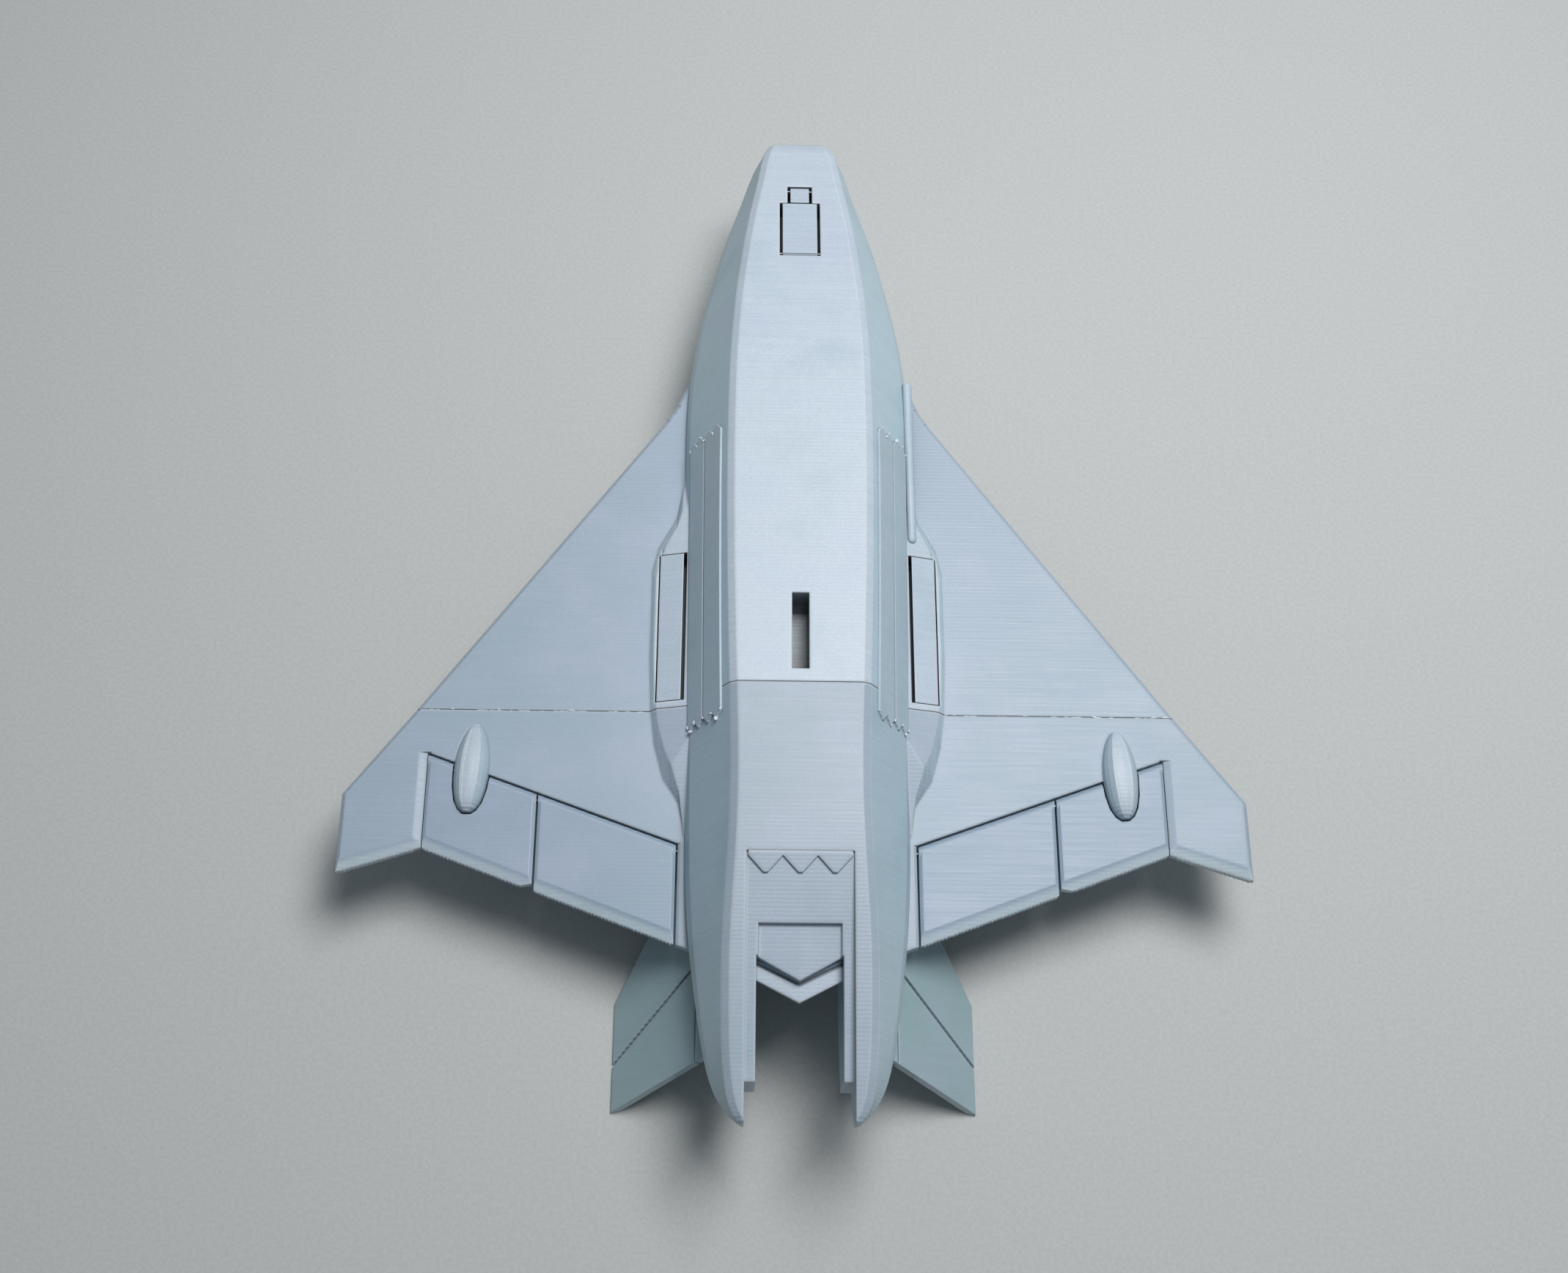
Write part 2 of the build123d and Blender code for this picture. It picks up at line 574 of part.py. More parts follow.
def rudder():
    root, tip = RUDDER_ROOT_X, FIN_TIP[0] + 2
    axis = [(x, rudder_y(x, RUDDER_BACK)) for x in (root, tip)]
    shape = fin_plate([axis[0], axis[1], (tip, fin_back_y(tip)), (root, fin_back_y(root))])
    start, end = (fin_point(*p) for p in axis)
    shape += rod(start, end, RUDDER_NOSE_R)
    shape -= block((0, 60), (-80, 20), (-60, GAP / 2 - REST_DEPTH))
    shape -= block((FIN_TIP[0] + 0.35, 60), (-80, 20), (-60, 20))
    return shape - rod(start, end, RUDDER_WIRE_R + FIT)


def rudder_wire(bore=False):
    over = BORE_OVER if bore else 0
    ends = (RUDDER_WIRE_X[0] - over, RUDDER_WIRE_X[1] + over)
    start, end = (fin_point(x, rudder_y(x, RUDDER_BACK)) for x in ends)
    return wire(start, end, RUDDER_WIRE_R, bore)


# ------------------------------------------------------------------------------- back of the model
def canopy(outer):
    rings = []
    for y, half, top in CANOPY:
        right = [(half, CANOPY_Z), (half, top * 0.72), (half * 0.55, top)]
        ring = right + [(-x, z) for x, z in reversed(right)]
        rings.append(Wire.make_polygon([(x, y, z) for x, z in ring], close=True))
    hood = Solid.make_loft(rings) - outer
    return hood - block((-20, 20), (0, 100), (-30, -REST_DEPTH))


def intake_ring(y, x_in, x_out, z_low, inset=0.0):
    points = [(x_in + inset, CANOPY_Z), (x_out - inset, CANOPY_Z), (x_out - inset, z_low * 0.8),
              (x_out - INTAKE_CORNER - inset, z_low + inset), (x_in + inset, z_low + inset)]
    return Wire.make_polygon([(x, y, z) for x, z in points], close=True)


def intake(outer):
    """Scoop beside the spine, open at the front."""
    scoop = Solid.make_loft([intake_ring(*place) for place in INTAKE])
    mouth = Solid.make_loft([intake_ring(*place, INTAKE_WALL) for place in INTAKE_MOUTH])
    return (scoop - mouth) - outer


# ------------------------------------------------------------------------------- tail
def deck_z(y):
    share = (y - DECK_Y) / (RAIL_END_Y - DECK_Y)
    return DECK_Z[0] + share * (DECK_Z[1] - DECK_Z[0])


def vee(half, edge, front, z_range):
    at_wall, at_centre = edge
    sides = [(-half, front), (half, front), (half, at_wall)]
    return outline_prism(sides + [(0, at_centre), (-half, at_wall)], *z_range)


def behind_vee(half, edge, z_range):
    at_wall, at_centre = edge
    sides = [(half, at_wall), (half, -80), (-half, -80)]
    return outline_prism([(-half, at_wall), (0, at_centre)] + sides, *z_range)


def ramp_cut():
    """Sunk ramp with leaning side walls and a low ridge down its middle."""
    rings = []
    for y, floor, ridge in zip((RAMP_Y, RAMP_END_Y), RAMP_Z, RAMP_RIDGE):
        right = [(RAMP_HALF, floor), (NOTCH_HALF, floor + 1.6), (NOTCH_HALF, 20)]
        ring = [(0, floor + ridge)] + right + [(-x, z) for x, z in reversed(right)]
        rings.append(Wire.make_polygon([(x, y, z) for x, z in ring], close=True))
    return Solid.make_loft(rings)


def tail_cuts():
    deck = side_prism([(DECK_Y, deck_z(DECK_Y)), (DECK_Y, 20), (-80, 20), (-80, deck_z(-80))], DECK_HALF)
    rails = block((-DECK_HALF, DECK_HALF), (-80, RAIL_END_Y), (-30, 30))
    notch = behind_vee(NOTCH_HALF, RAMP_EDGE, (DUCT_Z[1] - 1, 30))
    back_notch = behind_vee(NOTCH_HALF, BACK_EDGE, (-30, DUCT_Z[1]))
    duct = block((-DUCT_HALF, DUCT_HALF), (-60, DUCT_Y), DUCT_Z)
    return [deck, ramp_cut(), rails, notch, back_notch, duct]


def ventral_lip():
    """V-edged nozzle plate that lies under the ramp, grooved along the ramp's edge."""
    half = NOTCH_HALF - FIT / 2
    base = DUCT_Z[1] + 0.2
    width, depth = LIP_GROOVE
    far_edge = [y - width for y in RAMP_EDGE]
    groove_z = (base + LIP_T - depth, base + LIP_T + 1)
    groove = vee(half + 1, far_edge, LIP_FRONT_Y - 0.5, groove_z) - vee(half + 1, RAMP_EDGE, -30, groove_z)
    return vee(half, LIP_EDGE, LIP_FRONT_Y, (base, base + LIP_T)) - groove


def dorsal_lip():
    return vee(DUCT_HALF - FIT / 2, DORSAL_LIP_EDGE, DORSAL_LIP_FRONT_Y, (DUCT_Z[0], DUCT_Z[0] + LIP_T))


def serrated_strip():
    """Three raised teeth on the front of the deck, pointing aft."""
    half = 1.5 * TOOTH_PITCH
    root, tip = TOOTH_Y
    points = [(half, DECK_Y - FIT / 2), (half, root)]
    for x in (TOOTH_PITCH, 0.0, -TOOTH_PITCH):
        points += [(x + TOOTH_LAND, tip), (x - TOOTH_LAND, tip), (x - TOOTH_PITCH / 2, root)]
    points.append((-half, DECK_Y - FIT / 2))
    strip = outline_prism(points, 10, 14)
    floor = [(DECK_Y + 1, deck_z(DECK_Y + 1)), (-30, deck_z(-30))]
    cap = [(y, z + TOOTH_RAISE) for y, z in reversed(floor)]
    return strip & side_prism(floor + cap, DECK_HALF)


# ------------------------------------------------------------------------------- glued joint
def dowel_pair(x, z, radius, reach, bore):
    """Two dowels across the joint plane, or the holes they sit in."""
    over = BORE_OVER if bore else 0
    return [wire((side * x, -reach - over, z), (side * x, reach + over, z), radius, bore) for side in (-1, 1)]


def fuselage_dowels(bore=False):
    return dowel_pair(DOWEL_X, DOWEL_Z, DOWEL_R, BULKHEAD - 0.3, bore)


def wing_dowels(bore=False):
    return dowel_pair(WING_DOWEL_X, AXIS_Z, WING_DOWEL_R, WING_DOWEL_REACH, bore)


def gun_fairing(outer):
    """Slim round-ended strip along the foot of one cheek only."""
    start, end = GUN_LINE
    strip = rod(start, end, GUN_R) + Pos(*start) * Sphere(GUN_R) + Pos(*end) * Sphere(GUN_R)
    return strip - outer


def seam_groove(body):
    """The part of one section that the joint line takes off its skin."""
    half_width, depth = SEAM
    slab = body & block((-80, 80), (-half_width, half_width), (-40, 40))
    core = slab
    for shift in ((depth, 0, 0), (-depth, 0, 0), (0, 0, depth), (0, 0, -depth)):
        core = core & slab.moved(Location(shift))
    return slab - core


def both(shape):
    return [shape, mirrored(shape)]


def cut(shape, tools):
    for tool in tools:
        shape = shape - tool
    return shape


def shell(outer, y_low, y_high, cavity):
    """One printed section: the outer form between two planes, less its hollow."""
    return (outer & block((-40, 40), (y_low, y_high), (-40, 40))) - cavity


def front_section(outer):
    hollow = fuselage(-WALL, 0, 93) - block((-40, 40), (-5, BULKHEAD), (-40, 40))
    hollow = cut(hollow, [slot_walls(), nose_bay_walls()])
    body = shell(outer, 0, NOSE_Y + 1, hollow)
    for half in both(front_wing() + blister(0, 45)):
        body += half - fuselage(-WALL / 2, 0, 77)
    return body - seam_groove(body)


def rear_section(outer):
    hollow = fuselage(-WALL, -26, 0) - block((-40, 40), (-BULKHEAD, 5), (-40, 40))
    body = shell(outer, TAIL_Y - 1, 0, hollow)
    for half in both(rear_wing() + blister(-25, 0)):
        body += half - fuselage(-WALL / 2, -54, 0)
    return cut(body - seam_groove(body), tail_cuts())


def main():
    outer = fuselage()
    proud = fuselage(PANEL_RAISE)
    seat = fuselage(-PANEL_SEAT)
    panels = [cheek_panel(proud, seat, edges) for edges in PANEL_EDGES]
    one_fin, one_pod = fin(), pod()

    front = front_section(outer)
    rear = rear_section(outer)
    for panel in panels:
        front, rear = cut(front, both(panel)), cut(rear, both(panel))
    door_bores = both(gear_wire(bore=True))
    nose_bores = [nose_wire(*NOSE_FRONT_DOOR, -1, bore=True), nose_wire(*NOSE_REAR_DOOR, 1, bore=True)]
    front = cut(front, [*both(gear_bay()), *door_bores, nose_bay(), *nose_bores, stand_slot()])
    rear = cut(rear, [*door_bores, *both(elevon_wire(bore=True)), *both(one_pod), *both(one_fin)])
    rear = cut(rear, [*both(rudder_wire(bore=True)), ventral_lip()])
    joints = fuselage_dowels(bore=True) + wing_dowels(bore=True)
    save("front_section", cut(front, joints))
    save("rear_section", cut(rear, joints))

    for name, panel in zip(("upper_bay_panel", "lower_bay_panel"), panels):
        save_pair(name, panel)
    save("gun_fairing", gun_fairing(outer) - front)
    save("canopy", canopy(outer))
    save_pair("intake", intake(outer))

    save("nose_gear_front_door", nose_door(outer, *NOSE_FRONT_DOOR, -1))
    save("nose_gear_rear_door", nose_door(outer, *NOSE_REAR_DOOR, 1))
    save("nose_front_door_wire", nose_wire(*NOSE_FRONT_DOOR, -1))
    save("nose_rear_door_wire", nose_wire(*NOSE_REAR_DOOR, 1))
    save_pair("gear_door", gear_door())
    save_pair("gear_door_wire", gear_wire())

    save_pair("inner_elevon", elevon(INNER_X + ROOT_GAP, SPLIT_X - SPLIT_GAP[0]))
    outer_elevon = elevon(SPLIT_X + SPLIT_GAP[1], OUTER_X - TIP_GAP) - outer_corner()
    save_pair("outer_elevon", outer_elevon - pod_hole(POD_CLEAR))
    save_pair("elevon_wire", elevon_wire())
    save_pair("hinge_fairing", one_pod - elevon_wire(bore=True))

    save_pair("fin", one_fin - rudder_wire(bore=True))
    save_pair("rudder", rudder())
    save_pair("rudder_wire", rudder_wire())

    save("ventral_nozzle_lip", ventral_lip())
    save("dorsal_nozzle_lip", dorsal_lip())
    save("serrated_strip", serrated_strip())
    save("fuselage_dowels", Compound(children=fuselage_dowels()))
    save("wing_dowels", Compound(children=wing_dowels()))


if __name__ == "__main__":
    main()
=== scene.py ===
# %% [markdown]
# # A printed desk jet, lying on its back
# This lesson dresses a display model of a tailless-delta jet.  The real one is printed in two
# sections from pale blue-grey PLA, glued together across the wings, and it rests here on its fin tips
# and canopy with its belly up.  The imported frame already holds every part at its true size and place,
# so nothing here moves or reshapes a part: we give each one its plastic, add the small marks that a
# printer leaves, and then set camera and light.
# %% Load the frame
import json
import math
import random

import bmesh
import bpy
from mathutils import Matrix, Vector


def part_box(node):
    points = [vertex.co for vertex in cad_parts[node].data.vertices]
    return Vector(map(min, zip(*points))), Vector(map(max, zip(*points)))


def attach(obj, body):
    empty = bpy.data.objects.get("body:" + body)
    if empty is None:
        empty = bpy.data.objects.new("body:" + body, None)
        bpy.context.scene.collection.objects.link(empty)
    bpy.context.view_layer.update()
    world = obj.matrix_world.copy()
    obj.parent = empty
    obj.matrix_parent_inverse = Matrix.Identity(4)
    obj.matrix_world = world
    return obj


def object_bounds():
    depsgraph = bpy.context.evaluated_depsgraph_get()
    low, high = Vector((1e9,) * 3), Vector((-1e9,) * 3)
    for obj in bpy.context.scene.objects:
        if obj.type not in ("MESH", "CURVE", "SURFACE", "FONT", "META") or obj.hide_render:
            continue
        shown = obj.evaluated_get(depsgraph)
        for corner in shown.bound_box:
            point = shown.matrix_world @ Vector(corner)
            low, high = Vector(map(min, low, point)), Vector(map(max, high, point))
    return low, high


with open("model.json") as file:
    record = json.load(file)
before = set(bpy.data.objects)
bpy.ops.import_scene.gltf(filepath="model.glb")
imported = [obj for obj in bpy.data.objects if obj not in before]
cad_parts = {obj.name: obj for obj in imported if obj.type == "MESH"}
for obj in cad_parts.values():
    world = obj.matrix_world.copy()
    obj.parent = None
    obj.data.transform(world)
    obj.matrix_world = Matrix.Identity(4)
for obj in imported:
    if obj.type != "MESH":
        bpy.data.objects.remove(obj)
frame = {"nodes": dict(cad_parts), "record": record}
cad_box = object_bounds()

MM = 0.001
print("box in mm:", [round(v / MM, 1) for v in cad_box[1] - cad_box[0]])

# %% [markdown]
# ## Landmarks
# Pieces added later are placed from the parts themselves.  The rear section ends at the glued joint,
# the top of an elevon is the belly-side skin of the wing, and the inner edge of a gear door is where
# the thin wing begins.
# %% Landmarks
JOINT_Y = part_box("rear_section")[1].y
SKIN_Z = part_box("right_inner_elevon")[1].z
WING_T = SKIN_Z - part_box("right_inner_elevon")[0].z
ROOT_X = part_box("right_gear_door")[0].x
SIDES = (("left", -1), ("right", 1))         # each side, and the sign of its x
print("joint at y", round(JOINT_Y / MM, 2), "mm, wing skin at z", round(SKIN_Z / MM, 2), "mm")

# %% [markdown]
# ## Colour
# Shaders work in linear light, and a colour given here is an sRGB hex value.  One function turns
# the one into the other, so every colour in this file can be read as it looks.
# %% Colour
def linear(hex_colour):
    """Linear RGBA from an sRGB value such as "c6d2de"."""
    channels = [int(hex_colour[i:i + 2], 16) / 255 for i in (0, 2, 4)]
    return tuple(c / 12.92 if c <= 0.04045 else ((c + 0.055) / 1.055) ** 2.4 for c in channels) + (1.0,)


bpy.context.scene.view_settings.view_transform = "Standard"
print("belly blue in linear light:", [round(c, 3) for c in linear("c7d3de")])

# %% [markdown]
# ## A small language for shader nodes
# A material is a graph.  Building one by hand in code gets long, so one helper adds a node of any
# kind, sets its plain values and plugs its inputs in, all in one line.  The others are short words for
# what this file does most often with it: a smooth step, a product, a size without its sign, and a mix.
# %% Node helpers
def add(tree, kind, settings=None, **inputs):
    """One node with its settings; an input is a socket to link or a value to set."""
    node = tree.nodes.new("ShaderNode" + kind)
    for name, value in (settings or {}).items():
        setattr(node, name, value)
    for name, value in inputs.items():
        key = int(name[1:]) if name[1:].isdigit() else name.replace("_", " ")
        if isinstance(value, bpy.types.NodeSocket):
            tree.links.new(value, node.inputs[key])
        else:
            node.inputs[key].default_value = value
    return node


def new_material(name):
    """Empty material with its principled shader already plugged into the output."""
    material = bpy.data.materials.new(name)
    material.use_nodes = True
    tree = material.node_tree
    tree.nodes.clear()
    shader = add(tree, "BsdfPrincipled")
    add(tree, "OutputMaterial", i0=shader.outputs[0])
    return material, tree, shader


def ramp(tree, value, low, high, to=(0.0, 1.0)):
    """Smooth step of a value from low to high, into the range to."""
    step = add(tree, "MapRange", {"interpolation_type": "SMOOTHSTEP"}, i0=value, i1=low, i2=high,
               i3=to[0], i4=to[1])
    return step.outputs[0]


def times(tree, first, second):
    """Product of two values."""
    return add(tree, "Math", {"operation": "MULTIPLY"}, i0=first, i1=second).outputs[0]


def magnitude(tree, value):
    """A value without its sign."""
    return add(tree, "Math", {"operation": "ABSOLUTE"}, i0=value).outputs[0]


def tint(tree, factor, colour, towards):
    """Mix of two colours; colour is a socket or a linear value, towards a hex value."""
    mix = add(tree, "Mix", {"data_type": "RGBA"}, i0=factor, i6=colour, i7=linear(towards))
    return mix.outputs[2]


print("helpers ready")

# %% [markdown]
# ## PLA, printed in layers
# The plastic is polylactide filament, laid down hot in layers 0.2 mm thick.  Both sections stood on
# their joint faces while they were printed, so every layer is a plane across the model and the layer
# lines run from wing tip to wing tip.  To the eye that gives a satin skin with fine streaks across it,
# ridges that catch the light, drawn here with a painted highlight, and thin plates that look a little
# darker and bluer than the body because some light goes through them.
#
# A layer of 0.2 mm is finer than a picture of the whole model can show, so the drawn ridges are three
# layers apart.  The streaks are noise squeezed flat along Y.  Corners are rounded in the shader with a
# Bevel node, which costs nothing in the mesh; real fillets would have to be cut into every part.
# %% Pattern sizes
LAYER = 0.2 * MM
DRAWN_LAYER = 3 * LAYER      # coarser than life, so that it shows
STREAK_LENGTH = 14 * MM      # how far one streak runs along a layer
STREAK_DEPTH = 2 * LAYER     # and how many layers it takes in
MOTTLE = 13 * MM             # cloudy patches of cooler and greener plastic
GRAIN = 0.35 * MM            # fuzz of the extruded thread
CREVICE = 6 * MM             # width of the places where little light gets in


def bands(pitch):
    """Scale of a Wave texture whose bands are pitch apart."""
    return 2 * math.pi / 20 / pitch


print("layer ridges drawn", round(DRAWN_LAYER / MM, 2), "mm apart")


# %% Layer streaks
def layer_streaks(tree, place):
    """Streaks that run across the model, one for every few layers, from 0 to 1."""
    squeezed = add(tree, "Mapping", Vector=place,
                   Scale=(1 / STREAK_LENGTH, 1 / STREAK_DEPTH, 1 / STREAK_LENGTH)).outputs[0]
    return add(tree, "TexNoise", Vector=squeezed, Scale=0.9, Detail=2.0, Roughness=0.6).outputs[0]


print("streaks", round(STREAK_LENGTH / MM), "mm long and", round(STREAK_DEPTH / MM, 1), "mm deep")


# %% Thin plates and planed edges
def thin_mask(tree, x, z):
    """1 on the wings, 0 on the body: outboard of the root and no higher than the wing skin."""
    beside = ramp(tree, magnitude(tree, x), ROOT_X - 1.0 * MM, ROOT_X + 0.6 * MM)
    low = ramp(tree, z, SKIN_Z + 0.15 * MM, SKIN_Z + 0.9 * MM, (1.0, 0.0))
    return times(tree, beside, low)


def edge_mask(tree, z, facing):
    """1 on the planed trailing edges, where the plate runs out to almost nothing.

    They lie below the skin and lean towards the tail, so their normals point partly along -Y.
    """
    below_skin = ramp(tree, z, SKIN_Z - 0.3 * MM, SKIN_Z - 0.02 * MM, (1.0, 0.0))
    return times(tree, below_skin, ramp(tree, facing["Y"], -0.28, -0.1, (1.0, 0.0)))


print("thin plates begin at x", round(ROOT_X / MM, 1), "mm")

# %% Bump for printed plastic
RIDGE_HEIGHT = 0.06 * MM
GRAIN_HEIGHT = 0.02 * MM


def printed_normal(tree, place, facing, corner):
    """Rounded corners, then layer ridges, then the grain of the thread.

    A face along the layers is smooth; one that leans towards the nose or tail cuts across them and
    shows every layer as a terrace, so the ridges grow with that lean.
    """
    rounded = add(tree, "Bevel", {"samples": 6}, Radius=corner).outputs[0]
    wave = add(tree, "TexWave", {"bands_direction": "Y"}, Vector=place, Scale=bands(DRAWN_LAYER),
               Distortion=0.4, Detail=1.5).outputs["Fac"]
    across = ramp(tree, magnitude(tree, facing["Y"]), 0.25, 0.7, (0.12, 1.0))
    layers = add(tree, "Bump", Strength=across, Distance=RIDGE_HEIGHT, Height=wave,
                 Normal=rounded).outputs[0]
    fuzz = add(tree, "TexNoise", Vector=place, Scale=1 / GRAIN, Detail=2.0).outputs[0]
    grain = add(tree, "Bump", Strength=0.4, Distance=GRAIN_HEIGHT, Height=fuzz,
                Normal=layers).outputs[0]
    return rounded, fuzz, grain


print("ridges", round(RIDGE_HEIGHT / MM, 2), "mm high, grain", round(GRAIN_HEIGHT / MM, 2), "mm")


# %% Painted highlight on corners and painted shade in crevices
def painted_highlight_mask(tree, rounded):
    """1 along corners, where a highlight is painted: where the rounded normal leans away from the flat
    one.
    """
    flat = add(tree, "NewGeometry").outputs["True Normal"]
    agree = add(tree, "VectorMath", {"operation": "DOT_PRODUCT"}, i0=rounded, i1=flat).outputs["Value"]
    return ramp(tree, agree, 0.94, 0.992, (1.0, 0.0))


def painted_shade_mask(tree):
    """1 deep in a slot or a gap, where shade is painted; 0 on open skin."""
    open_sky = add(tree, "AmbientOcclusion", {"samples": 6}, Distance=CREVICE).outputs["AO"]
    return ramp(tree, open_sky, 0.08, 0.6, (1.0, 0.0))


print("crevices looked for within", round(CREVICE / MM), "mm")

# %% [markdown]
# ## Putting the plastic together
# The base colour is built like washes of thin paint, one over the other.  Over the body colour go the
# thin plates' painted shade, the side walls' painted light and the planed edges, then slow clouds, the
# streaks of the layers and the grain, and last a painted highlight on the corners and painted shade in
# the crevices.  Each wash is one mix, so each can be taken out of the list to see what it does.
# %% Tones of the washes
PLANED_EDGE = "bfced4"       # greener, where light comes through the edge
COOL_CLOUD = "b9bfd6"
GREEN_CLOUD = "8fa8b4"
STREAK_TONE = "7f90a2"
GRAIN_TONE = "8496a6"
# painted highlight laid along the corners
PAINTED_HIGHLIGHT_TONE = "f2f6f8"
# painted shade laid deep in crevices
PAINTED_SHADE_TONE = "2a2628"
PLA_IOR = 1.46
LIGHT_DEPTH = 0.5 * MM       # how far light goes into the plastic
print("corners", PAINTED_HIGHLIGHT_TONE, "and crevices", PAINTED_SHADE_TONE)


# %% Printed PLA
def printed_pla(name, body, thin, wall_light, corner=0.28 * MM, highlight_paint=0.3, shade_paint=0.3):
    """PLA printed in layers across Y; the body, thin-plate and side-wall colours are hex values.

    The thin-plate colour is painted shade and the side-wall colour is painted light.  corner is the
    radius of its edges; the next two set how strong the painted highlight on those edges is and how
    dark the painted shade in its crevices is.
    """
    material, tree, shader = new_material(name)
    place = add(tree, "TexCoord").outputs["Object"]
    x, _, z = add(tree, "SeparateXYZ", i0=place).outputs
    facing = add(tree, "SeparateXYZ", i0=add(tree, "NewGeometry").outputs["True Normal"]).outputs
    rounded, fuzz, normal = printed_normal(tree, place, facing, corner)
    plate = thin_mask(tree, x, z)
    cloud = add(tree, "TexNoise", Vector=place, Scale=1 / MOTTLE, Detail=3.0).outputs[0]
    streak = layer_streaks(tree, place)

    colour = linear(body)
    washes = [               # where each wash lies and how strong it is, then its tone
        # thin plates: their darker, bluer tone is painted shade from light that goes through them
        (plate, thin),
        # side walls: a greener tone, lighter or darker by part, as painted light on faces that turn
        # sideways
        (ramp(tree, magnitude(tree, facing["X"]), 0.62, 0.84, (0.0, 0.85)), wall_light),
        (times(tree, times(tree, plate, edge_mask(tree, z, facing)), 0.8), PLANED_EDGE),
        (ramp(tree, cloud, 0.45, 0.7, (0.0, 0.25)), COOL_CLOUD),
        (ramp(tree, cloud, 0.3, 0.52, (0.2, 0.0)), GREEN_CLOUD),
        (ramp(tree, streak, 0.38, 0.64, (0.07, 0.0)), STREAK_TONE),
        (ramp(tree, fuzz, 0.4, 0.62, (0.1, 0.0)), GRAIN_TONE),
        # painted highlight along the corners
        (times(tree, painted_highlight_mask(tree, rounded), highlight_paint), PAINTED_HIGHLIGHT_TONE),
        # painted shade deep in slots and gaps, where little light gets in
        (times(tree, painted_shade_mask(tree), shade_paint), PAINTED_SHADE_TONE),
    ]
    for mask, tone in washes:
        colour = tint(tree, mask, colour, tone)

    tree.links.new(colour, shader.inputs["Base Color"])
    tree.links.new(normal, shader.inputs["Normal"])
    tree.links.new(ramp(tree, streak, 0.3, 0.7, (0.38, 0.45)), shader.inputs["Roughness"])
    shader.inputs["IOR"].default_value = PLA_IOR
    shader.inputs["Subsurface Weight"].default_value = 0.1
    shader.inputs["Subsurface Radius"].default_value = (0.8, 1.0, 1.1)
    shader.inputs["Subsurface Scale"].default_value = LIGHT_DEPTH
    return material


# the brighter corners of both sections are a stronger painted highlight
SECTION = {"corner": 0.6 * MM, "highlight_paint": 0.35}    # both sections have rounder, brighter corners
front_pla = printed_pla("pla_printed_front_section", "c7d3de", "a5b4c3", "bdd6e0", shade_paint=0.8, **SECTION)
# rear section: a darker copy of the front plastic, as painted shade towards the tail
rear_shaded_pla = printed_pla("pla_rear_section_painted_shade", "aab7c4", "a1b1c0", "b6cdd6", shade_paint=0.2, **SECTION)
# thin elevons: a darker copy again, as painted shade
plate_shaded_pla = printed_pla("pla_thin_plate_painted_shade", "98a9bb", "98a9bb", "a0b4bf", shade_paint=0.12)
small_pla = printed_pla("pla_printed_small_part", "bfccd8", "bfccd8", "b4c7d1", highlight_paint=0.2, shade_paint=0.5)
# thin printed parts: a darker, greener copy of the plastic, as painted shade
fin_shaded_pla = printed_pla("pla_thin_fin_painted_shade", "9bb4b8", "9bb4b8", "98b1b4", shade_paint=0.05)
# pale plastic for beads, lumps and ridge bars: its pale colour is a painted highlight
bead_highlight_pla = printed_pla("pla_beads_painted_highlight", "e3ebf0", "e3ebf0", "d5e0e6", corner=0.05 * MM)
print("plastics:", [m.name for m in bpy.data.materials])


# %% [markdown]
# ## Steel hinge wire
# The elevons, rudders and doors turn on short lengths of drawn steel wire.  A die pulls the wire thin
# and leaves scratches along it.  The scratches could follow each wire, but the wires hide in their
# bores and show only where a part is swung open, so one noise serves them all, stretched across the
# model as the elevon and nose door wires lie.
# %% Drawn steel
def drawn_steel():
    """Plain steel wire, with scratches from the die along X."""
    material, tree, shader = new_material("drawn_steel_wire")
    place = add(tree, "TexCoord").outputs["Object"]
    drawn = add(tree, "Mapping", Vector=place, Scale=(0.2 / MM, 8 / MM, 8 / MM)).outputs[0]
    scratch = add(tree, "TexNoise", Vector=drawn, Scale=1.0, Detail=3.0).outputs[0]
    tone = tint(tree, ramp(tree, scratch, 0.35, 0.65), linear("54575b"), "7b7e82")
    tree.links.new(tone, shader.inputs["Base Color"])
    tree.links.new(ramp(tree, scratch, 0.3, 0.7, (0.28, 0.42)), shader.inputs["Roughness"])
    shader.inputs["Metallic"].default_value = 1.0
    return material


wire_steel = drawn_steel()
print("metal:", wire_steel.name)

# %% [markdown]
# ## Dressing the parts
# The record names a finish for every part.  Some parts take a darker copy of their plastic as painted
# shade: the rear section is a shade darker than the front one, for the light that falls off towards the
# tail, its nozzle plates and toothed strip match it, the thin elevons are darker again, and the thin
# fins take a darker, greener tone.
# %% Dress the parts
FINISH = {"printed_plastic": small_pla, "thin_print": fin_shaded_pla, "dowel_plastic": small_pla,
          "hinge_wire": wire_steel}
SPECIAL = {"front_section": front_pla, "rear_section": rear_shaded_pla, "ventral_nozzle_lip": rear_shaded_pla,
           "dorsal_nozzle_lip": rear_shaded_pla, "serrated_strip": rear_shaded_pla}
SPECIAL.update({name: plate_shaded_pla for name in frame["nodes"] if name.endswith("elevon")})
for part in frame["record"]["subparts"]:
    node = frame["nodes"][part["node"]]
    node.data.materials.clear()
    node.data.materials.append(SPECIAL.get(part["node"], FINISH[part["material_slot"]]))
print(len(frame["nodes"]), "parts dressed")

# %% [markdown]
# ## Steps along the trailing edges
# The trailing edges cross the layers at a slant, so each layer ends a little further along than the
# one before and the edge is a tiny staircase.  A bump can't change an outline, so the steps are real:
# one thin block for each layer that reaches the edge, as deep as a layer and as long as the slant
# makes it.
# %% Finding an edge
RAY_START = 10 * MM          # rays start this far outside the model
FORWARD = Vector((0, 1, 0))
DOWN = Vector((0, 0, -1))


